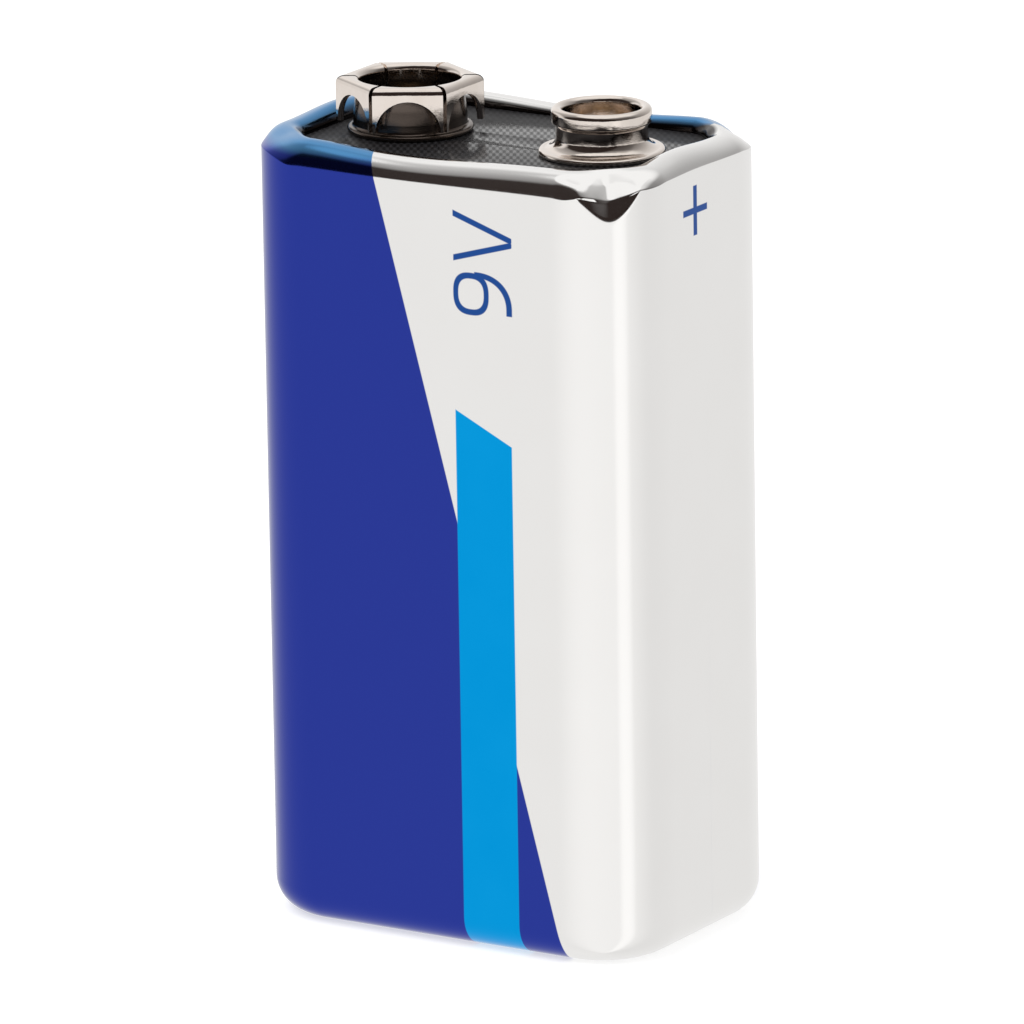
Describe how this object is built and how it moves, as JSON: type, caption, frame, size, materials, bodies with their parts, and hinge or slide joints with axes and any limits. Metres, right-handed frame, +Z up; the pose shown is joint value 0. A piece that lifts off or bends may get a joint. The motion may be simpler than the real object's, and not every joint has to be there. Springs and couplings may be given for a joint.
{
  "type": "nine volt battery",
  "caption": "Block battery with a snap stud and a hexagonal snap socket on a black plate, in a tinplate jacket round stacked cylindrical cells.",
  "frame": {"origin": "middle of the rectangle that the battery stands on, at the level of the surface under it", "axes": "+Z up through the terminals, +X towards the positive stud, Y across the thin side of the block"},
  "size_m": [0.026, 0.0176, 0.0483],
  "materials": {
    "jacket": "bright lithographed tinplate with a deep blue field and a sky blue band",
    "terminal_plate": "black embossed fibre board",
    "snap_metal": "nickel plated spring sheet",
    "rivet_metal": "plain brass",
    "base_plate": "black moulded plastic",
    "pad": "pressed insulating board",
    "liner": "clear shrink film",
    "strap": "nickel plated strip",
    "can": "nickel plated deep drawn steel",
    "sleeve": "shrunk plastic sleeve",
    "cathode": "pressed manganese dioxide and graphite",
    "separator": "absorbent paper",
    "anode": "zinc powder gel",
    "seal": "moulded nylon",
    "cap": "plated cap with a brass nail welded to it"
  },
  "bodies": {
    "root": {"jacket": "jacket", "terminal_plate": "terminal_plate", "positive_stud": "snap_metal", "negative_socket": "snap_metal", "positive_rivet": "rivet_metal", "negative_rivet": "rivet_metal", "positive_lead": "strap", "negative_lead": "strap", "top_pad": "pad", "base_pad": "pad", "base_plate": "base_plate", "liner": "liner", "strap_1": "strap", "strap_2": "strap", "strap_3": "strap", "strap_4": "strap", "strap_5": "strap", "cell_1_can": "can", "cell_1_sleeve": "sleeve", "cell_1_cathode": "cathode", "cell_1_separator": "separator", "cell_1_anode": "anode", "cell_1_seal": "seal", "cell_1_cap": "cap", "cell_2_can": "can", "cell_2_sleeve": "sleeve", "cell_2_cathode": "cathode", "cell_2_separator": "separator", "cell_2_anode": "anode", "cell_2_seal": "seal", "cell_2_cap": "cap", "cell_3_can": "can", "cell_3_sleeve": "sleeve", "cell_3_cathode": "cathode", "cell_3_separator": "separator", "cell_3_anode": "anode", "cell_3_seal": "seal", "cell_3_cap": "cap", "cell_4_can": "can", "cell_4_sleeve": "sleeve", "cell_4_cathode": "cathode", "cell_4_separator": "separator", "cell_4_anode": "anode", "cell_4_seal": "seal", "cell_4_cap": "cap", "cell_5_can": "can", "cell_5_sleeve": "sleeve", "cell_5_cathode": "cathode", "cell_5_separator": "separator", "cell_5_anode": "anode", "cell_5_seal": "seal", "cell_5_cap": "cap", "cell_6_can": "can", "cell_6_sleeve": "sleeve", "cell_6_cathode": "cathode", "cell_6_separator": "separator", "cell_6_anode": "anode", "cell_6_seal": "seal", "cell_6_cap": "cap"}
  },
  "joints": []
}
